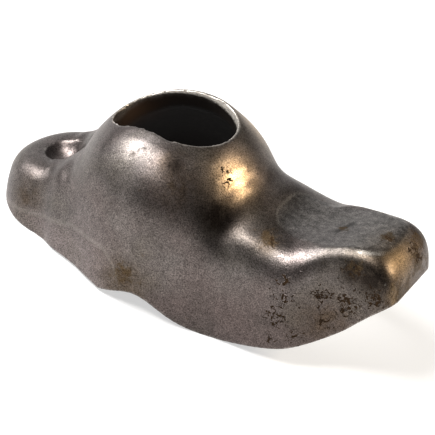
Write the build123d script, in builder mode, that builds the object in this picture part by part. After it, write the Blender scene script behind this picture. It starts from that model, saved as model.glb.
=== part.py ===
from build123d import *
import os
from math import atan2, cos, degrees, pi, sin, sqrt

# Stamped steel rocker arm for a stud-mounted, ball-pivoted valve train, lying with its trough down.
# It is drawn about the centre of its pivot ball: X runs from the pushrod end to the valve tip,
# Z is up, and sizes are in millimetres. Then it is set down on its rim as it comes to rest.

# sheet, and the seat that the pivot ball turns in
sheet = 3.0
ball_radius = 14.1

# places along the arm, from the centre of the ball
seat_to_ball = 22.2
ball_to_heel = 8.0
ball_to_ear = 6.0
ball_to_waist = 3.0
ball_to_shoulder = 10.0
ball_to_belly = 17.5
ball_to_valley = 26.0
ball_to_pad = 35.0
ball_to_nose = 44.2

# height of the crown line over the centre of the ball, without the dome
tail_crown = 3.1
foot_crown = 5.2
heel_crown = 9.0
waist_crown = 10.0
shoulder_crown = 6.9
neck_crown = 5.7
valley_crown = 1.6
pad_crown = 2.3
nose_crown = 1.6

# half width of the outer form, without the dome
tail_half_width = 9.7
foot_half_width = 12.0
heel_half_width = 14.0
waist_half_width = 14.4
shoulder_half_width = 14.2
neck_half_width = 13.7
valley_half_width = 13.0
pad_half_width = 8.9
nose_half_width = 8.3

# shape of the section: 2 is an ellipse, and more is a flatter top with tighter shoulders
tail_squareness = 3.6
waist_squareness = 2.6
shoulder_squareness = 2.3
neck_squareness = 2.3
valley_squareness = 2.1
pad_squareness = 4.8

# higher is a tighter crease where the dome meets the arm
tail_crease = 12.0
waist_crease = 10.0
shoulder_crease = 8.0

# the section is drawn around a hub line this far below the ball
hub_depth = 7.0

# skirt: the level where it leaves the wall, and its lean outward for each millimetre down
skirt_top = 2.0
skirt_bottom = 22.0
tail_lean = 0.12
heel_lean = 0.1
belly_lean = 0.05

# level of the trimmed rim, below the centre of the ball
tail_rim = 6.2
ear_rim = 11.6
arch_rim = 10.5
belly_rim = 17.2
throat_rim = 13.2
nose_rim = 6.5

# slope of the rim, as a drop for each millimetre towards the nose
tail_rim_slope = 0.3
heel_rim_slope = 0.3
ear_rim_slope = -0.1
belly_rim_slope = 0.0
nose_rim_slope = -0.5

# bends at the nose: the roll down from the pad, and the upright corners
nose_roll = 5.4
nose_corner = 2.8
inside_corner = 0.6

# stud slot, from a smaller round at the pushrod side to a larger one at the valve side
slot_tail_radius = 6.4
slot_tail_place = -4.7
slot_nose_radius = 7.8
slot_nose_place = 2.7

# valve pad, ground smooth: where the wheel comes down and leaves, and the depth it takes off the crown
pad_start = 19.0
pad_end = 41.0
pad_grind = 0.6

# pushrod seat, pressed down out of the sheet for a ball-ended pushrod
seat_radius = 4.0
seat_depth = 1.8

# spacing of the sections, and points on each
section_pitch = 1.6
arch_steps = 9
skirt_steps = 3
bend_steps = 6
rest_steps = 40

dome_radius = ball_radius + sheet

# place, crown, half width, squareness, lean of the skirt and crease of the arm without its dome
tail_shape = (tail_squareness, tail_lean, tail_crease)
stations = [
    (-seat_to_ball, tail_crown, tail_half_width, *tail_shape),
    (-dome_radius, foot_crown, foot_half_width, *tail_shape),
    (-ball_to_heel, heel_crown, heel_half_width, tail_squareness, heel_lean, tail_crease),
    (ball_to_waist, waist_crown, waist_half_width, waist_squareness, belly_lean, waist_crease),
    (ball_to_shoulder, shoulder_crown, shoulder_half_width, shoulder_squareness, belly_lean, shoulder_crease),
    (dome_radius, neck_crown, neck_half_width, neck_squareness, belly_lean, shoulder_crease),
    (ball_to_valley, valley_crown, valley_half_width, valley_squareness, belly_lean, shoulder_crease),
    (ball_to_pad, pad_crown, pad_half_width, pad_squareness, belly_lean, shoulder_crease),
    (ball_to_nose, nose_crown, nose_half_width, pad_squareness, belly_lean, shoulder_crease),
]


def along(x, column):
    """One column of the stations at x, smooth and with no overshoot between stations."""
    places = [station[0] for station in stations]
    values = [station[column] for station in stations]
    spans = [b - a for a, b in zip(places, places[1:])]
    slopes = [(b - a) / span for a, b, span in zip(values, values[1:], spans)]
    bends = [2 * a * b / (a + b) if a * b > 0 else 0.0 for a, b in zip(slopes, slopes[1:])]
    tangents = [0.0] + bends + [slopes[-1]]
    i = max(k for k in range(len(spans)) if k == 0 or places[k] <= x)
    t = (x - places[i]) / spans[i]
    rise = t * t * (3 - 2 * t)
    level = values[i] + rise * (values[i + 1] - values[i])
    return level + spans[i] * t * (1 - t) * ((1 - t) * tangents[i] - t * tangents[i + 1])


def sag(past, radius):
    """Drop of a round of this radius at a distance past its start."""
    past = min(max(past, 0.0), radius)
    return radius - sqrt(radius**2 - past**2)


def reach(x, angle, inset):
    """Distance from the hub line to the skin of the section at x, at an angle above level."""
    end = ball_to_nose - inset
    roll = max(nose_roll - inset, inside_corner)
    corner = max(nose_corner - inset, inside_corner)
    crown = along(x, 1) + hub_depth - inset - sag(x - end + roll, roll)
    half_width = along(x, 2) - inset - sag(x - end + corner, corner)
    square = along(x, 3)
    body = ((cos(angle) / half_width) ** square + (sin(angle) / crown) ** square) ** (-1 / square)
    dome_half = sqrt(max((dome_radius - inset) ** 2 - x**2, 0.0))
    level = hub_depth * cos(angle)
    if sin(angle) * dome_half < level:
        dome = dome_half / cos(angle)
    else:
        dome = hub_depth * sin(angle) + sqrt(max(dome_half**2 - level**2, 0.0)) if dome_half > level else 0.0
    crease = along(x, 5)
    return (body**crease + dome**crease) ** (1 / crease)


def half_section(x, inset):
    """Points of the skin at x on one side, from the foot of the skirt up to the crown, as (y, z)."""
    foot = reach(x, 0.0, inset)
    drops = [(skirt_bottom - hub_depth) * step / skirt_steps for step in range(skirt_steps, 0, -1)]
    points = [(foot, -hub_depth - drop) for drop in drops]
    for step in range(arch_steps + 1):
        angle = pi / 2 * step / arch_steps
        out = reach(x, angle, inset)
        points.append((out * cos(angle), out * sin(angle) - hub_depth))
    return [(y + along(x, 4) * max(-skirt_top - z, 0.0), z) for y, z in points]


def places_along(inset):
    """Places of the sections, from the pushrod seat round the roll of the nose to its end face."""
    roll = max(nose_roll - inset, inside_corner)
    roll_start = ball_to_nose - inset - roll
    span = roll_start + seat_to_ball
    count = round(span / section_pitch)
    straight = [-seat_to_ball + span * step / count for step in range(count + 1)]
    bends = [sin(pi / 2 * step / (bend_steps + 0.5)) for step in range(1, bend_steps + 1)]
    return straight + [roll_start + roll * bend for bend in bends]


def form(inset):
    """Closed solid under the skin that lies inset from the outer one, from the pushrod seat to the nose."""
    middle = half_section(0.0, inset)
    steps = [sqrt((a[0] - b[0]) ** 2 + (a[1] - b[1]) ** 2) for a, b in zip(middle, middle[1:])]
    spacing = steps + steps[::-1]
    knots = [sum(spacing[:i]) / sum(spacing) for i in range(len(spacing) + 1)]
    with BuildPart() as body:
        for x in places_along(inset):
            half = half_section(x, inset)
            points = half + [(-y, z) for y, z in reversed(half[:-1])]
            with BuildSketch(Plane.YZ.offset(x)):
                with BuildLine():
                    add(Edge.make_spline([Vector(y, z) for y, z in points], parameters=knots))
                    Line(points[-1], points[0])
                make_face()
        loft()
    return body.part


seat_axis = Axis((-seat_to_ball, 0, 0), (0, 0, 1))
seat_centre = tail_crown + seat_radius - seat_depth
far = 2 * ball_to_nose

# side view of the rim, from the pushrod end over the ears and the belly to the nose
nose_face = places_along(0.0)[-1]
tail_foot = Vector(-seat_to_ball - tail_half_width, -tail_rim)
ear_foot = Vector(-ball_to_ear, -ear_rim)
belly_foot = Vector(ball_to_belly, -belly_rim)
throat_foot = Vector(ball_to_pad, -throat_rim)
nose_foot = Vector(nose_face, -nose_rim)
with BuildLine() as rim:
    Line(tail_foot - Vector(sheet, 0), tail_foot)
    heel = Spline(tail_foot, ear_foot, tangents=[(1, -tail_rim_slope), (1, -heel_rim_slope)])
    dip = Spline(ear_foot, (0, -arch_rim), belly_foot, tangents=[(1, -ear_rim_slope), (1, -belly_rim_slope)])
    belly = Spline(belly_foot, throat_foot, nose_foot, tangents=[(1, -belly_rim_slope), (1, -nose_rim_slope)])
    Line(nose_foot, nose_foot + Vector(sheet, -nose_rim_slope * sheet))

with BuildPart() as rocker_arm:
    add(form(0.0))
    add(form(sheet), mode=Mode.SUBTRACT)

    # round end of the tail, turned about the pushrod seat
    tail_section = rocker_arm.faces().filter_by(Plane.YZ).sort_by(Axis.X)[0]
    half_tail = split(tail_section, Plane.XZ, keep=Keep.BOTTOM, mode=Mode.PRIVATE)
    revolve(half_tail, axis=seat_axis, revolution_arc=180, clean=False)

    # valve pad, ground across the arm and running out on its crown at both ends
    with BuildSketch(Plane.XZ):
        with BuildLine():
            ground = Spline(
                (pad_start, along(pad_start, 1) + pad_grind),
                (ball_to_valley, valley_crown - pad_grind),
                (ball_to_pad, pad_crown - pad_grind),
                (pad_end, along(pad_end, 1)),
            )
            Polyline(ground @ 1, (pad_end, far), (pad_start, far), ground @ 0)
        make_face()
    extrude(amount=far, both=True, mode=Mode.SUBTRACT)

    # trimmed rim
    with BuildSketch(Plane.XZ):
        with BuildLine():
            add(rim.line)
            Polyline(rim.line @ 1, (far, -far), (-far, -far), rim.line @ 0)
        make_face()
    extrude(amount=far, both=True, mode=Mode.SUBTRACT)

    # stud slot through the dome
    with BuildSketch(Plane.XY):
        with Locations((slot_tail_place, 0)):
            Circle(slot_tail_radius)
        with Locations((slot_nose_place, 0)):
            Circle(slot_nose_radius)
        make_hull()
    extrude(amount=far, mode=Mode.SUBTRACT)

    # pushrod seat: the sheet pressed down, then the hollow for the pushrod's ball
    with BuildSketch(Plane.XZ):
        with Locations((-seat_to_ball, seat_centre)):
            Circle(seat_radius + sheet)
        with Locations((-seat_to_ball, tail_crown - sheet / 2)):
            Rectangle(far, far, align=(Align.CENTER, Align.MIN), mode=Mode.SUBTRACT)
            Rectangle(far, far, align=(Align.MAX, Align.CENTER), mode=Mode.SUBTRACT)
    revolve(axis=seat_axis)
    with Locations((-seat_to_ball, 0, seat_centre)):
        Sphere(seat_radius, mode=Mode.SUBTRACT)

# at rest the arm stands on its belly and on its tail or its ears, nose up
tail_splay = tail_lean * (tail_rim - skirt_top)
tail_edge = tail_foot - Vector(tail_splay, 0)
rest_points = [curve @ (step / rest_steps) for curve in (heel, dip, belly) for step in range(rest_steps + 1)]
leans = [
    max(atan2(start.Y - point.Y, point.X - start.X) for point in rest_points if point.X > start.X)
    for start in (tail_edge, ear_foot)
]
rest_lean = min(leans)


def leaned(x, z):
    """A point of the side view once the arm leans nose up, as (x, z)."""
    return x * cos(rest_lean) - z * sin(rest_lean), x * sin(rest_lean) + z * cos(rest_lean)


tail_end = min(leaned(-seat_to_ball - y, z)[0] for y, z in half_section(-seat_to_ball, 0.0))
nose_tip = leaned(nose_face, -nose_rim)[0]
lowest = min(leaned(point.X, point.Y)[1] for point in rest_points + [tail_edge])
tilted = rocker_arm.part.rotate(Axis.Y, -degrees(rest_lean))
rested = tilted.moved(Location((-(tail_end + nose_tip) / 2, 0, -lowest)))
rested.label = "rocker_arm"
os.makedirs("parts", exist_ok=True)
export_step(rested, "parts/rocker_arm.step")
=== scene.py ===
import bpy
import math
import numpy as np
from mathutils import Matrix, Vector, noise


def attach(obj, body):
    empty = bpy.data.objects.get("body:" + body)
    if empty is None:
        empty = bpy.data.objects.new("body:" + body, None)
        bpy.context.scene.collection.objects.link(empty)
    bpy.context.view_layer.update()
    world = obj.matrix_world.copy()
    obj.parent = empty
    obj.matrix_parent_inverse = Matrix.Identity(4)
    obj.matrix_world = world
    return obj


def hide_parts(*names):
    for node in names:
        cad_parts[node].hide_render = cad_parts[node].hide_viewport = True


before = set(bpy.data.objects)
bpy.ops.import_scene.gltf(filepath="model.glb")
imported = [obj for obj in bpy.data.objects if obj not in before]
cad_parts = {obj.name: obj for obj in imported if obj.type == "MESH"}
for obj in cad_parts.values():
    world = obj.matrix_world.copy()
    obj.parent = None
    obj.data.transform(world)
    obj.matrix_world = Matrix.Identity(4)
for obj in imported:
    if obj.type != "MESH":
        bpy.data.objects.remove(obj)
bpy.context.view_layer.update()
print("frame loaded")

mm = 0.001  # metres in a millimetre
white = (1.0, 1.0, 1.0, 1.0)

# how the arm lies: the centre of its pivot ball, and how far it leans nose up
arm = {
    "ballCentre": Vector((-7.028, 0.0, 13.344)) * mm,
    "lean": math.radians(13.025),
}

# the camera, seen from the level arm, in degrees and millimetres
view = {
    "azimuth": 27.54,
    "elevation": 28.84,
    "distance": 491.4,
    "lens": 239.9,
    "aim": Vector((7.665, 0.195, -3.084)),
    "farthest": 10000.0,
}


def addCamera():
    azimuth = math.radians(view["azimuth"])
    elevation = math.radians(view["elevation"])
    flat = math.cos(elevation)
    lean = Matrix.Rotation(-arm["lean"], 3, "Y")
    back = lean @ Vector((math.sin(azimuth) * flat, -math.cos(azimuth) * flat, math.sin(elevation)))
    right = lean @ Vector((math.cos(azimuth), math.sin(azimuth), 0.0))
    turn = Matrix((right, back.cross(right), back)).transposed()
    aim = arm["ballCentre"] + lean @ view["aim"] * mm
    bpy.ops.object.camera_add()
    camera = bpy.context.active_object
    camera.name = "camera"
    camera.matrix_world = Matrix.Translation(aim + back * view["distance"] * mm) @ turn.to_4x4()
    camera.data.lens = view["lens"]
    camera.data.clip_end = view["farthest"] * mm
    bpy.context.scene.camera = camera
    print("camera placed")


# the stamped sheet, in millimetres, with places and levels on the level arm
stampingLook = {
    # the mesh, and the uneven skin of a pressed sheet
    "weld": 0.001,
    "remesh": {"octree_depth": 8, "scale": 0.83, "sharpness": 1.0},
    "meshSoftness": 0.5,
    "wave": 0.05,
    "waveLength": 7.0,
    # the stud slot: middle and radius of each end, and the level above which it lies
    "slotTail": (-4.7, 6.4),
    "slotNose": (2.7, 7.8),
    "slotLevel": 6.5,
    "slotTilt": 0.06,
    "tiltWidth": 2.0,
    "tiltHeight": 2.0,
    # the lips round the slot and round the pushrod seat, which is a middle and a radius
    "seat": (-22.2, 4.0),
    "seatLevel": -1.0,
    "seatRim": 0.5,
    "seatRimWidth": 1.2,
    "slotRimWidth": 0.7,
    "rimRounds": 12,
    "rimShare": 0.5,
    # the soft valley between the dome and the nose
    "softMiddle": 19.0,
    "softReach": 6.5,
    "softLevels": (-9.0, -5.0),
    "softFromSlot": (1.5, 4.5),
    "softRounds": 90,
    "softShare": 0.5,
    # a shallow step across the front of the dome
    "step": {"start": (12.8, -8.6, 8.0), "end": (14.7, -2.6, 8.5), "width": 1.3, "drop": 0.35},
    # slow rises and falls of the sheet: a place, a radius and a rise
    "swells": [
        ((25.0, -11.0, -1.2), 4.5, 1.0),
        ((25.0, 11.0, -1.2), 4.5, 1.0),
        ((14.8, -10.8, 2.4), 3.0, -1.0),
        ((14.8, 10.8, 2.4), 3.0, -1.0),
        ((18.5, -8.6, 2.8), 2.4, -0.45),
        ((16.7, -10.7, 1.9), 1.7, 0.35),
        ((19.0, -11.0, 1.0), 1.9, 0.3),
        ((-22.2, 0.0, 2.0), 5.5, -0.9),
        ((-19.0, 8.5, 1.0), 6.0, 1.4),
        ((-27.0, 7.0, -1.0), 5.0, 0.4),
        ((-30.0, -5.5, -6.2), 4.0, 0.7),
        ((-21.3, -11.3, -6.8), 2.3, -0.5),
        ((-14.0, -9.0, 3.5), 3.0, -0.5),
        ((-16.2, 5.5, 2.6), 1.8, -0.35),
        ((-17.4, 2.5, 2.2), 1.6, -0.3),
        ((-17.0, -6.0, 1.6), 1.6, -0.3),
    ],
    # the outer skin faces away from a line at the hub's level or lies at the tip of the nose,
    # and the inside is the rest of the sheet without its lower rim
    "hubLevel": -7.0,
    "skinFacing": 0.3,
    "noseTip": 43.8,
    "upperFacing": 0.5,
    "rimFacing": -0.95,
    "insideRounds": 3,
    "insideLow": (-2.0, -7.0),
    # wear on convex edges, and wear with a painted highlight on the lip of the slot along the arm
    "edgeCurve": 0.035,
    "domeRadius": 17.1,
    "lipReach": 0.4,
    "lipStations": (-6.0, 2.0, 8.0),
    "lipDepths": (0.2, 0.38, 1.1),
    "lipNearDepth": 0.35,
    "lipNear": (0.0, -4.0),
    # the ground pad on the nose, and the painted highlight line round parts of it
    "padMiddle": 31.2,
    "padHalfLength": 10.5,
    "padHalfWidth": 6.8,
    "padFade": 0.04,
    "padTail": {"x": (23.0, 22.0), "y": (-7.5, -6.5), "strength": 0.4},
    "padNose": {"x": (40.0, 41.0), "strength": 0.15},
    "padGlint": {"at": 1.0, "width": 0.022},
    "cornerGlint": {"at": 1.02, "width": 0.04, "start": (36.5, 37.5), "stop": (41.2, 40.6), "y": (-3.0, -4.0)},
    # side view of the faint bend in the tail skirt, along which a faint highlight is painted
    "bendLine": [(-30.0, -5.5), (-22.0, -4.9), (-13.1, -3.2), (-5.3, -3.8), (-3.5, -5.5), (-2.0, -8.0)],
    "bendWidth": 0.4,
    "bendStop": -2.0,
    # painted light and shade on the lower walls, lighter at the tail and darker at the belly, each deepening
    # below a level over a height
    "skirtTop": -3.0,
    "skirtHeight": 3.0,
    "skirtAlong": (0.0, -6.0),
    "lowTop": -4.0,
    "lowHeight": 8.0,
    "lowAlong": (-6.0, 0.0),
    # marks on the steel, each a place and a radius
    "marks": {
        "rust": [
            ((27.0, -13.0, -7.1), 3.2), ((25.6, -13.5, -10.7), 2.6), ((28.7, -12.6, -14.2), 2.0),
            ((24.7, -13.8, -15.0), 1.6), ((32.3, -10.1, -6.4), 2.4), ((32.9, -10.0, -11.2), 1.8),
            ((36.6, -9.1, -7.3), 3.4), ((37.0, -8.3, -1.4), 2.2), ((41.1, -8.6, -5.6), 2.8),
            ((26.6, -12.3, -4.0), 1.6), ((39.8, -1.0, 1.9), 1.6), ((28.0, 12.4, -8.0), 3.5),
            ((-25.5, 8.6, -4.0), 2.0), ((12.4, -6.0, 10.1), 1.5), ((13.4, -7.2, 8.6), 1.4),
            ((22.5, -8.8, 0.8), 1.4), ((43.4, 2.0, -1.5), 3.0),
        ],
        # brown stains, and painted shade on the shoulder beside the pad and on the near nose wall
        "stainAndShade": [
            ((22.0, -9.0, 0.9), 2.4), ((39.8, -1.0, 1.9), 2.2), ((-0.7, -17.6, -7.6), 2.6),
            ((37.3, -8.3, -0.7), 2.0), ((31.4, -0.2, 1.2), 1.2), ((44.2, -4.5, -5.5), 4.0),
            ((44.2, 2.0, -3.0), 4.0), ((43.6, 3.5, -0.6), 3.0), ((36.0, 8.6, -3.0), 3.0),
        ],
        # painted shade: dark patches on the near nose wall, the flank below the dome and the dome's front,
        # and three tiny pits
        "sootAndShade": [
            ((40.6, -8.3, -2.0), 4.0), ((37.0, -8.5, -1.6), 2.6), ((14.0, -11.5, 4.0), 4.2),
            ((5.4, -11.2, 11.9), 2.0), ((-1.8, -11.8, 12.4), 0.4), ((-0.1, -10.8, 13.3), 0.35),
            ((-1.0, -11.2, 12.9), 0.3),
        ],
        # painted light on the left inner wall of the hollow under the dome
        "hollowLight": [((-9.5, 3.6, 11.0), 3.6)],
        # brown stain on the nose end and belly, and painted shade: dark brown on the dome's front, on the
        # tail's highlight and beside the pad
        "umberAndShade": [
            ((44.4, -4.5, -6.5), 4.0), ((44.4, 2.0, -4.5), 4.0), ((33.0, -10.0, -11.0), 4.5),
            ((43.6, 4.5, -0.8), 2.4), ((22.0, -9.0, 0.9), 2.6), ((7.0, -13.0, 9.0), 4.5),
            ((5.4, -11.0, 12.0), 3.0), ((-1.5, -17.4, -8.5), 4.5), ((-24.0, -9.0, -2.5), 3.0),
        ],
        "polish": [
            ((14.0, -5.5, 8.0), 5.0), ((20.0, -10.8, 0.6), 3.5), ((26.0, -10.5, -0.8), 4.5),
            ((-2.2, -11.9, 12.4), 3.0),
        ],
        "dull": [((-25.0, -8.0, -2.0), 4.5), ((44.6, -3.0, -5.0), 3.5)],
        # painted warm highlights: a straw tint where the warm lamp's glints fall
        "warmGlint": [
            ((14.0, -5.5, 8.0), 4.5), ((42.9, -3.4, -0.2), 4.5), ((42.7, -4.4, -0.1), 3.0),
            ((43.8, -7.1, -4.5), 1.3), ((9.0, 9.0, 10.0), 4.0),
        ],
    },
    # streaks on the steel, each from one place to another, with a radius
    "streaks": {
        # painted shade: a dark gap drawn across the warm highlight on the dome's front
        "umberAndShade": [((14.0, -8.4, 6.5), (15.9, -1.8, 7.2), 0.9)],
        "sootAndShade": [((30.9, -1.7, 1.2), (32.1, 1.5, 1.3), 0.5)],
        "stainAndShade": [((44.2, -6.0, -6.0), (44.2, 3.0, -3.0), 1.2), ((43.9, -1.0, -1.6), (43.9, 4.5, -1.0), 0.8)],
        # a painted warm highlight down the near corner of the nose
        "warmGlint": [((43.6, -7.2, -3.0), (43.9, -7.0, -6.5), 0.7)],
    },
}


def selectOnly(piece):
    bpy.ops.object.select_all(action="DESELECT")
    piece.select_set(True)
    bpy.context.view_layer.objects.active = piece


def applyModifier(piece, kind, **settings):
    selectOnly(piece)
    modifier = piece.modifiers.new(kind.lower(), kind)
    for key, value in settings.items():
        setattr(modifier, key, value)
    bpy.ops.object.modifier_apply(modifier=modifier.name)


def readVectors(items, name):
    values = np.empty(len(items) * 3, np.float32)
    items.foreach_get(name, values)
    return values.reshape(-1, 3).astype(float)


def turnLevel(vectors):
    # turns vectors at rest back to the level arm
    cosine, sine = math.cos(arm["lean"]), math.sin(arm["lean"])
    x, y, z = vectors.T
    return np.stack([x * cosine + z * sine, y, z * cosine - x * sine], 1)


def levelPlaces(rested):
    # places on the level arm, in millimetres from the centre of the ball
    return turnLevel(rested - np.array(arm["ballCentre"])) / mm


def ramp(values, start, stop):
    # 0 at the start and before it, 1 at the stop and past it
    return np.clip((values - start) / (stop - start), 0.0, 1.0)


def hump(values, width, power=2):
    # 1 in the middle, falling away smoothly on both sides
    return np.exp(-(values / width) ** power)


def slotDistance(x, y):
    # distance outside the stud slot, seen from above
    (tailX, tailRadius), (noseX, noseRadius) = stampingLook["slotTail"], stampingLook["slotNose"]
    length = noseX - tailX
    sine = (tailRadius - noseRadius) / length
    cosine = math.sqrt(1 - sine * sine)
    side, along = np.abs(y), x - tailX
    place = cosine * along - sine * side
    tail = np.hypot(side, along) - tailRadius
    nose = np.hypot(side, along - length) - noseRadius
    flank = cosine * side + sine * along - tailRadius
    return np.where(place < 0, tail, np.where(place > cosine * length, nose, flank))


def besideLine(places, start, end):
    # the way from the nearest point of a line to each place
    start, run = np.array(start), np.array(end) - np.array(start)
    along = np.clip((places - start) @ run / (run @ run), 0.0, 1.0)
    return places - start - along[:, None] * run


def nearMarks(places, name):
    near = np.zeros(len(places))
    for centre, radius in stampingLook["marks"][name]:
        near = np.maximum(near, np.exp(-((places - np.array(centre)) ** 2).sum(1) / radius ** 2))
    for start, end, radius in stampingLook["streaks"].get(name, []):
        near = np.maximum(near, np.exp(-(besideLine(places, start, end) ** 2).sum(1) / radius ** 2))
    return near


def neighbourMean(piece, places):
    # the mean of each vertex's neighbours, for any number of columns
    ends = np.empty(len(piece.data.edges) * 2, int)
    piece.data.edges.foreach_get("vertices", ends)
    starts = np.concatenate([ends[0::2], ends[1::2]])
    stops = np.concatenate([ends[1::2], ends[0::2]])
    count = np.maximum(np.bincount(starts, minlength=len(places)), 1)
    return np.stack([np.bincount(starts, values[stops], len(values)) / count for values in places.T], 1)


def smoothPlaces(piece, places, share, rounds):
    # draws each place a share of the way towards the mean of its neighbours, again and again
    for _ in range(rounds):
        places += share[:, None] * (neighbourMean(piece, places) - places)


def shapeSheet(piece):
    # the sheet swells a little, its slot stands up on one side, and it flows smoothly off the dome
    look = stampingLook
    rested = readVectors(piece.data.vertices, "co")
    level = levelPlaces(rested)
    x, y, z = level.T
    slot = slotDistance(x, y)
    rise = look["slotTilt"] * y * hump(slot, look["tiltWidth"])
    rise *= ramp(z, look["slotLevel"], look["slotLevel"] + look["tiltHeight"])
    for centre, radius, height in look["swells"]:
        rise += height * np.exp(-((level - np.array(centre)) ** 2).sum(1) / radius ** 2)
    upwards = np.array([-math.sin(arm["lean"]), 0.0, math.cos(arm["lean"])]) * mm
    rested += rise[:, None] * upwards

    valley = hump(x - look["softMiddle"], look["softReach"], 4)
    valley *= ramp(z, *look["softLevels"]) * ramp(slot, *look["softFromSlot"])
    smoothPlaces(piece, rested, look["softShare"] * valley, look["softRounds"])

    seatX, seatRadius = look["seat"]
    pastSeat = np.hypot(x - seatX, y) - seatRadius
    rims = hump(slot, look["slotRimWidth"]) * (z > look["slotLevel"])
    rims += hump(pastSeat - look["seatRim"], look["seatRimWidth"]) * (z > look["seatLevel"])
    smoothPlaces(piece, rested, look["rimShare"] * rims, look["rimRounds"])

    step = look["step"]
    away = besideLine(level, step["start"], step["end"]) / step["width"]
    downhill = (away[:, 0] - away[:, 2]) * math.sqrt(0.5)  # forwards and down, at half a right angle
    fall = downhill * np.exp(-(away ** 2).sum(1))
    rested -= (step["drop"] * fall)[:, None] * upwards
    piece.data.vertices.foreach_set("co", rested.ravel())
    piece.data.update()


def addWaves(piece):
    # the skin of a pressed sheet is never quite even, and it never goes below the floor
    places = readVectors(piece.data.vertices, "co")
    normals = readVectors(piece.data.vertex_normals, "vector")
    stretch = 1 / (stampingLook["waveLength"] * mm)
    heights = np.array([noise.noise(Vector(place) * stretch) for place in places])
    places += normals * heights[:, None] * stampingLook["wave"] * mm
    places[:, 2] = np.maximum(places[:, 2], 0.0)
    piece.data.vertices.foreach_set("co", places.ravel())
    piece.data.update()


def paint(piece, name, values):
    attribute = piece.data.attributes.new(name, "FLOAT", "POINT")
    attribute.data.foreach_set("value", np.clip(values, 0.0, 1.0).astype(np.float32))


def paintMarks(piece):
    look = stampingLook
    rested = readVectors(piece.data.vertices, "co")
    normals = turnLevel(readVectors(piece.data.vertex_normals, "vector"))
    places = levelPlaces(rested)
    x, y, z = places.T

    outward = normals[:, 1] * y + normals[:, 2] * (z - look["hubLevel"])
    outward += normals[:, 0] * np.minimum(x - look["seat"][0], 0.0)
    skin = (outward > look["skinFacing"]) | (x > look["noseTip"])
    upper = skin & (normals[:, 2] > look["upperFacing"])
    inside = (~skin & (normals[:, 2] > look["rimFacing"])).astype(float)[:, None]
    for _ in range(look["insideRounds"]):
        inside = neighbourMean(piece, inside)
    # the inside, which the steel paints near black as shade
    paint(piece, "inside", inside[:, 0])
    paint(piece, "insideLow", ramp(z, *look["insideLow"]))

    around = levelPlaces(neighbourMean(piece, rested))
    paint(piece, "edge", ((places - around) * normals).sum(1) / look["edgeCurve"])
    slot = slotDistance(x, y)
    lipDepth = np.interp(x, look["lipStations"], look["lipDepths"])
    lipDepth += look["lipNearDepth"] * ramp(y, *look["lipNear"])
    depth = look["domeRadius"] - np.sqrt(x * x + y * y + z * z)
    lip = np.hypot(np.maximum(slot, 0.0) / look["lipReach"], np.maximum(depth, 0.0) / lipDepth)
    # the lip of the slot: wear and a painted highlight
    paint(piece, "slotEdge", (z > look["slotLevel"]) * np.exp(-lip ** 2))

    along = (x - look["padMiddle"]) / look["padHalfLength"]
    pad = (along ** 4 + (y / look["padHalfWidth"]) ** 4) ** 0.25
    paint(piece, "ground", upper * (1.0 - pad) / look["padFade"])
    tail, nose, line, corner = look["padTail"], look["padNose"], look["padGlint"], look["cornerGlint"]
    # a painted highlight round the ends and the near corner of the pad
    ends = tail["strength"] * ramp(x, *tail["x"]) * ramp(y, *tail["y"])
    ends += nose["strength"] * ramp(x, *nose["x"])
    bright = upper * ends * hump(pad - line["at"], line["width"])
    nearCorner = ramp(x, *corner["start"]) * ramp(x, *corner["stop"]) * ramp(y, *corner["y"])
    bright += skin * nearCorner * hump(pad - corner["at"], corner["width"])
    paint(piece, "padGlint", bright)

    bend = np.interp(x, *zip(*look["bendLine"]))
    # a faint painted highlight along the bend
    paint(piece, "bend", skin * (x < look["bendStop"]) * hump(z - bend, look["bendWidth"]))
    # painted light on the lower tail wall and painted shade on the lower belly wall
    paint(piece, "skirt", (look["skirtTop"] - z) / look["skirtHeight"] * ramp(x, *look["skirtAlong"]))
    paint(piece, "low", (look["lowTop"] - z) / look["lowHeight"] * ramp(x, *look["lowAlong"]))
    for name in look["marks"]:
        paint(piece, name, nearMarks(places, name))
    print("marks painted")


def makeStamping():
    look = stampingLook
    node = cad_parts["rocker_arm"]
    piece = bpy.data.objects.new("stamping", node.data.copy())
    bpy.context.scene.collection.objects.link(piece)
    selectOnly(piece)
    bpy.ops.object.mode_set(mode="EDIT")
    bpy.ops.mesh.select_all(action="SELECT")
    bpy.ops.mesh.remove_doubles(threshold=look["weld"] * mm)
    bpy.ops.object.mode_set(mode="OBJECT")
    piece.data.materials.clear()
    if piece.data.has_custom_normals:
        bpy.ops.mesh.customdata_custom_splitnormals_clear()
    applyModifier(piece, "REMESH", mode="SHARP", **look["remesh"])
    applyModifier(piece, "SMOOTH", factor=look["meshSoftness"], iterations=1)
    shapeSheet(piece)
    addWaves(piece)
    paintMarks(piece)
    selectOnly(piece)
    bpy.ops.object.shade_smooth()
    print("stamping made,", len(piece.data.polygons), "faces")
    return piece


# sockets of a mix node: its share, its two sides and its result
mixSockets = {"RGBA": (0, 6, 7, 2), "FLOAT": (0, 2, 3, 0)}


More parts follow.
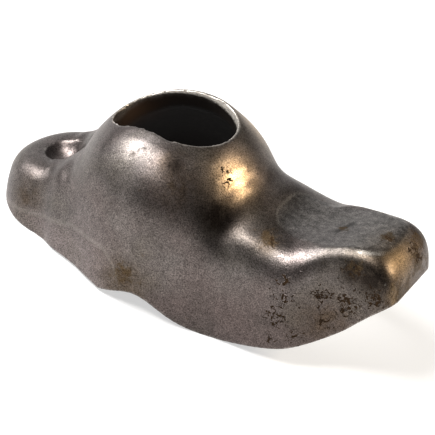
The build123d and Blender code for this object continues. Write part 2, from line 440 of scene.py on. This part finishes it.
class NodeMaker:
    # short words for adding and joining shader nodes
    def __init__(self, material):
        self.tree = material.node_tree
        self.tree.nodes.clear()
        coordinates = self.add("ShaderNodeTexCoord")
        self.place = self.scaled(coordinates.outputs["Object"], (1 / mm, 1 / mm, 1 / mm))

    def add(self, kind, **settings):
        node = self.tree.nodes.new(kind)
        for key, value in settings.items():
            setattr(node, key, value)
        return node

    def fill(self, socket, value):
        if isinstance(value, bpy.types.NodeSocket):
            self.tree.links.new(value, socket)
        else:
            socket.default_value = value

    def scaled(self, vector, scale):
        mapping = self.add("ShaderNodeMapping")
        self.fill(mapping.inputs["Vector"], vector)
        self.fill(mapping.inputs["Scale"], scale)
        return mapping.outputs["Vector"]

    def noise(self, size, detail, roughness, stretch=(1, 1, 1), distortion=0.0):
        # noise with grains of about this size in millimetres
        texture = self.add("ShaderNodeTexNoise")
        self.fill(texture.inputs["Vector"], self.scaled(self.place, stretch))
        self.fill(texture.inputs["Scale"], 1 / size)
        self.fill(texture.inputs["Detail"], detail)
        self.fill(texture.inputs["Roughness"], roughness)
        self.fill(texture.inputs["Distortion"], distortion)
        return texture.outputs["Fac"]

    def painted(self, name):
        return self.add("ShaderNodeAttribute", attribute_name=name).outputs["Fac"]

    def combine(self, kind, first, second=0.0):
        node = self.add("ShaderNodeMath", operation=kind)
        self.fill(node.inputs[0], first)
        self.fill(node.inputs[1], second)
        return node.outputs[0]

    def times(self, first, second):
        return self.combine("MULTIPLY", first, second)

    def larger(self, first, second):
        return self.combine("MAXIMUM", first, second)

    def spread(self, value, low, high, least=0.0, most=1.0):
        # takes a value from one range to another
        node = self.add("ShaderNodeMapRange")
        settings = {"Value": value, "From Min": low, "From Max": high, "To Min": least, "To Max": most}
        for name, setting in settings.items():
            self.fill(node.inputs[name], setting)
        return node.outputs["Result"]

    def mix(self, kind, share, first, second, **settings):
        node = self.add("ShaderNodeMix", data_type=kind, **settings)
        *places, result = mixSockets[kind]
        for place, value in zip(places, (share, first, second)):
            self.fill(node.inputs[place], value)
        return node.outputs[result]

    def blend(self, share, first, second, kind="MIX"):
        return self.mix("RGBA", share, first, second, blend_type=kind)

    def mixed(self, share, first, second):
        return self.mix("FLOAT", share, first, second)

    def bump(self, height, depth, normal=None):
        node = self.add("ShaderNodeBump")
        self.fill(node.inputs["Height"], height)
        self.fill(node.inputs["Distance"], depth * mm)
        if normal:
            self.fill(node.inputs["Normal"], normal)
        return node.outputs["Normal"]


steelLook = {
    "dark": (0.115, 0.100, 0.094, 1.0),
    "light": (0.165, 0.146, 0.138, 1.0),
    # painted light on the lower wall at the tail
    "skirt": (0.190, 0.160, 0.152, 1.0),
    # painted shade on the lower wall at the belly
    "low": (0.095, 0.078, 0.073, 1.0),
    "ground": (0.160, 0.150, 0.142, 1.0),
    # the colour of wear on edges and of the painted highlights
    "wearAndSheen": (0.55, 0.51, 0.46, 1.0),
    # the near-black colour of the painted shade inside
    "inside": (0.006, 0.004, 0.003, 1.0),
    "insideLow": (0.030, 0.025, 0.022, 1.0),
    # the colour of the painted light inside the hollow
    "hollowLight": (0.036, 0.019, 0.010, 1.0),
    # the colour of the brown stain and of the painted shade
    "umberAndShade": (0.085, 0.062, 0.045, 1.0),
    # the colour of the stains and of the painted shade among them
    "stainAndShade": (0.075, 0.050, 0.026, 1.0),
    # the colour of the painted shade and of real dark dirt
    "sootAndShade": (0.022, 0.017, 0.014, 1.0),
    # the colour of the painted warm highlights
    "warmGlint": (0.36, 0.25, 0.14, 1.0),
    "olive": (0.110, 0.098, 0.072, 1.0),
    "rose": (0.170, 0.128, 0.122, 1.0),
    "rust": (0.012, 0.007, 0.004, 1.0),
    "rustLight": (0.044, 0.024, 0.010, 1.0),
    # how strongly each layer lies on the steel
    "warmGlintShare": 0.95,
    "groundShare": 0.6,
    "groundMottle": 0.3,
    "mottleShare": 0.18,
    "grainShare": 0.7,
    "bendGlintShare": 0.14,
    # how rough the steel is, and how rough its marks are
    "roughness": 0.40,
    "roughnessSwing": 0.06,
    "groundRough": 0.34,
    "dullRough": 0.55,
    "polishRough": 0.31,
    "grimeRough": 0.6,
    "wornRough": 0.32,
    "rustRough": 0.85,
    # depth of the relief in millimetres
    "cutDepth": 0.01,
    "grainDepth": 0.03,
    "mottleDepth": 0.02,
    "rustDepth": 0.06,
    # how the grinding cuts are drawn out across the pad
    "cutStretch": (4.0, 0.12, 4.0),
    # how far the rust flecks wander, and the level of noise along which strings of rust run
    "fleckDistortion": 1.2,
    "stringLevel": 0.5,
    # noises: the size of a grain in millimetres, the detail and the roughness
    "noises": {
        "blotch": (7.0, 5.0, 0.6),
        "mottle": (1.2, 4.0, 0.65),
        "grain": (0.21, 2.0, 0.7),
        "tint": (11.0, 2.0, 0.5),
        "umberAndShade": (2.2, 5.0, 0.65),
        "ragged": (1.6, 6.0, 0.7),
        "flecks": (1.1, 8.0, 0.66),
        "strings": (1.9, 5.0, 0.62),
        "cuts": (0.5, 2.0, 0.6),
    },
    # spans: the low and high end that go in, and the two that come out where they aren't 0 and 1
    "spans": {
        "blotch": (0.35, 0.65),
        "olive": (0.35, 0.5, 0.35, 0.0),
        "rose": (0.5, 0.65, 0.0, 0.25),
        "umberAndShade": (0.35, 0.6, 0.4, 1.0),
        "ground": (0.35, 0.65),
        "sootAndShade": (0.3, 0.6, 0.8, 1.25),
        "ragged": (0.3, 0.7, -0.9, 0.5),
        "stainAndShade": (0.3, 0.8, 0.0, 0.85),
        "mottle": (0.3, 0.7),
        "grain": (0.3, 0.72),
        "wornMottle": (0.3, 0.7, -0.3, 0.3),
        "wearAndSheen": (0.45, 0.95),
        "wornInside": (0.0, 1.0, 0.3, 0.1),
        "lipGrain": (0.35, 0.6, 0.5, 1.1),
        "lip": (0.25, 0.75),
        "lipDull": (0.25, 0.75, 0.0, 0.5),
        "padGlint": (0.4, 0.6, 0.3, 1.1),
        "strings": (0.0, 0.07, 0.04, -0.03),
        "rustMarks": (0.0, 1.0, -0.17, 0.045),
        "rust": (0.53, 0.548),
        "rustColour": (0.3, 0.7),
        "roughness": (0.3, 0.7),
        "metallic": (0.0, 1.0, 1.0, 0.1),
        "specular": (0.0, 1.0, 0.5, 0.1),
    },
}


def steelMaterial():
    material = bpy.data.materials.new("steel")
    material.use_nodes = True
    maker = NodeMaker(material)
    look, noises, spans = steelLook, steelLook["noises"], steelLook["spans"]
    blotch = maker.noise(*noises["blotch"])
    mottle = maker.noise(*noises["mottle"])
    grain = maker.noise(*noises["grain"])
    tint = maker.noise(*noises["tint"])
    ground = maker.painted("ground")

    # plain steel, a little olive and a little rose by turns, with painted light and shade on the lower walls
    colour = maker.blend(maker.spread(blotch, *spans["blotch"]), look["dark"], look["light"])
    colour = maker.blend(maker.painted("skirt"), colour, look["skirt"])
    colour = maker.blend(maker.painted("low"), colour, look["low"])
    colour = maker.blend(maker.spread(tint, *spans["olive"]), colour, look["olive"])
    colour = maker.blend(maker.spread(tint, *spans["rose"]), colour, look["rose"])

    # painted warm highlights, the ground pad, and dirt mixed with painted shade
    # painted warm highlights tint the steel straw
    colour = maker.blend(maker.times(maker.painted("warmGlint"), look["warmGlintShare"]), colour, look["warmGlint"])
    colour = maker.blend(maker.times(ground, look["groundShare"]), colour, look["ground"])
    # brown stain and painted shade, unevenly spread
    uneven = maker.spread(maker.noise(*noises["umberAndShade"]), *spans["umberAndShade"])
    colour = maker.blend(maker.times(maker.painted("umberAndShade"), uneven), colour, look["umberAndShade"])
    uneven = maker.spread(mottle, *spans["ground"])
    colour = maker.blend(maker.times(ground, look["groundMottle"]), colour, uneven, "OVERLAY")
    # painted shade, with a few real pits and a dark streak of dirt
    sootAndShade = maker.times(maker.painted("sootAndShade"), maker.spread(mottle, *spans["sootAndShade"]))
    colour = maker.blend(sootAndShade, colour, look["sootAndShade"])
    # stains and painted shade, with ragged edges
    ragged = maker.spread(maker.noise(*noises["ragged"]), *spans["ragged"])
    stainAndShade = maker.spread(maker.combine("ADD", maker.painted("stainAndShade"), ragged), *spans["stainAndShade"])
    colour = maker.blend(stainAndShade, colour, look["stainAndShade"])
    colour = maker.blend(look["mottleShare"], colour, maker.spread(mottle, *spans["mottle"]), "OVERLAY")
    colour = maker.blend(look["grainShare"], colour, maker.spread(grain, *spans["grain"]), "OVERLAY")

    # the inside, painted near black as shade up under the dome and plain dark steel lower down
    inside = maker.painted("inside")
    # painted light on the left inner wall of the hollow
    hollow = maker.blend(maker.painted("hollowLight"), look["inside"], look["hollowLight"])
    bare = maker.blend(mottle, look["insideLow"], look["dark"])
    hollow = maker.blend(maker.painted("insideLow"), hollow, bare)
    colour = maker.blend(inside, colour, hollow)

    # bright wear on edges, wear and a painted highlight on the lip of the slot, and painted highlights along
    # the faint lines
    uneven = maker.spread(mottle, *spans["wornMottle"])
    wearAndSheen = maker.spread(maker.combine("ADD", maker.painted("edge"), uneven), *spans["wearAndSheen"])
    wearAndSheen = maker.times(wearAndSheen, maker.spread(inside, *spans["wornInside"]))
    lip = maker.times(maker.painted("slotEdge"), maker.spread(grain, *spans["lipGrain"]))
    wearAndSheen = maker.larger(wearAndSheen, maker.spread(lip, *spans["lip"]))
    colour = maker.blend(wearAndSheen, colour, look["wearAndSheen"])
    # painted highlights along the pad's edge and along the bend
    line = maker.times(maker.painted("padGlint"), maker.spread(grain, *spans["padGlint"]))
    line = maker.larger(line, maker.times(maker.painted("bend"), look["bendGlintShare"]))
    colour = maker.blend(line, colour, look["wearAndSheen"])

    # rust in flecks and strings
    flecks = maker.noise(*noises["flecks"], distortion=look["fleckDistortion"])
    strings = maker.combine("SUBTRACT", maker.noise(*noises["strings"]), look["stringLevel"])
    strings = maker.spread(maker.combine("ABSOLUTE", strings), *spans["strings"])
    rust = maker.combine("ADD", flecks, strings)
    rust = maker.combine("ADD", rust, maker.spread(maker.painted("rust"), *spans["rustMarks"]))
    rust = maker.spread(rust, *spans["rust"])
    rustColour = maker.blend(maker.spread(grain, *spans["rustColour"]), look["rust"], look["rustLight"])
    colour = maker.blend(rust, colour, rustColour)

    smoothest = look["roughness"] - look["roughnessSwing"]
    roughest = look["roughness"] + look["roughnessSwing"]
    roughness = maker.spread(blotch, *spans["roughness"], smoothest, roughest)
    roughness = maker.mixed(ground, roughness, look["groundRough"])
    roughness = maker.mixed(maker.painted("dull"), roughness, look["dullRough"])
    roughness = maker.mixed(maker.painted("polish"), roughness, look["polishRough"])
    roughness = maker.mixed(maker.larger(stainAndShade, inside), roughness, look["grimeRough"])
    roughness = maker.mixed(wearAndSheen, roughness, look["wornRough"])
    roughness = maker.mixed(rust, roughness, look["rustRough"])

    cuts = maker.noise(*noises["cuts"], stretch=look["cutStretch"])
    normal = maker.bump(maker.times(cuts, ground), look["cutDepth"])
    normal = maker.bump(grain, look["grainDepth"], normal)
    normal = maker.bump(mottle, look["mottleDepth"], normal)
    normal = maker.bump(maker.times(rust, grain), look["rustDepth"], normal)

    # rust, the inside painted as shade, and the lip's wear and painted highlight look less like metal
    dull = maker.larger(maker.larger(rust, inside), maker.spread(lip, *spans["lipDull"]))
    shader = maker.add("ShaderNodeBsdfPrincipled")
    maker.fill(shader.inputs["Base Color"], colour)
    maker.fill(shader.inputs["Metallic"], maker.spread(dull, *spans["metallic"]))
    maker.fill(shader.inputs["Specular IOR Level"], maker.spread(dull, *spans["specular"]))
    maker.fill(shader.inputs["Roughness"], roughness)
    maker.fill(shader.inputs["Normal"], normal)
    output = maker.add("ShaderNodeOutputMaterial")
    maker.fill(output.inputs["Surface"], shader.outputs["BSDF"])
    print("steel made")
    return material


# floor and light, in metres and watts
studio = {
    "floorSize": 4.0,
    "floorColour": (0.46, 0.46, 0.46, 1.0),
    "floorRoughness": 0.9,
    "floorGlow": 0.58,
    "world": 0.09,
}
lamps = {
    "leftBox": {
        "towards": (-0.73, -0.15, 0.65),
        "distance": 0.7,
        "size": 0.24,
        "watts": 5.4,
        "colour": (1.0, 1.0, 1.0),
    },
    "frontBox": {
        "towards": (-0.33, -0.45, 0.83),
        "distance": 0.7,
        "size": 0.17,
        "watts": 3.6,
        "colour": (1.0, 0.98, 0.96),
    },
    "rightBox": {
        "towards": (0.75, 0.31, 0.58),
        "distance": 0.8,
        "size": 0.22,
        "watts": 5.4,
        "colour": (1.0, 0.87, 0.70),
    },
    "backBox": {
        "towards": (-0.45, 0.78, 0.44),
        "distance": 0.9,
        "size": 0.9,
        "watts": 1.7,
        "colour": (1.0, 1.0, 1.0),
    },
}


def addFloor():
    bpy.ops.mesh.primitive_plane_add(size=studio["floorSize"], location=(0.0, 0.0, 0.0))
    floor = bpy.context.active_object
    floor.name = "floor"
    material = bpy.data.materials.new("floor")
    material.use_nodes = True
    shader = material.node_tree.nodes["Principled BSDF"]
    shader.inputs["Base Color"].default_value = studio["floorColour"]
    shader.inputs["Roughness"].default_value = studio["floorRoughness"]
    shader.inputs["Emission Color"].default_value = white
    shader.inputs["Emission Strength"].default_value = studio["floorGlow"]
    floor.data.materials.append(material)


def addLamps():
    for name, lamp in lamps.items():
        towards = Vector(lamp["towards"]).normalized()
        bpy.ops.object.light_add(type="AREA", location=towards * lamp["distance"])
        light = bpy.context.active_object
        light.name = name
        light.rotation_euler = towards.to_track_quat("Z", "Y").to_euler()
        light.data.size = lamp["size"]
        light.data.energy = lamp["watts"]
        light.data.color = lamp["colour"]
    world = bpy.data.worlds.new("studio")
    world.use_nodes = True
    background = world.node_tree.nodes["Background"]
    background.inputs["Color"].default_value = white
    background.inputs["Strength"].default_value = studio["world"]
    bpy.context.scene.world = world
    bpy.context.scene.view_settings.view_transform = "Standard"


addCamera()
stamping = makeStamping()
stamping.data.materials.append(steelMaterial())
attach(stamping, "root")
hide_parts("rocker_arm")
addFloor()
addLamps()
print("floor and lamps placed")
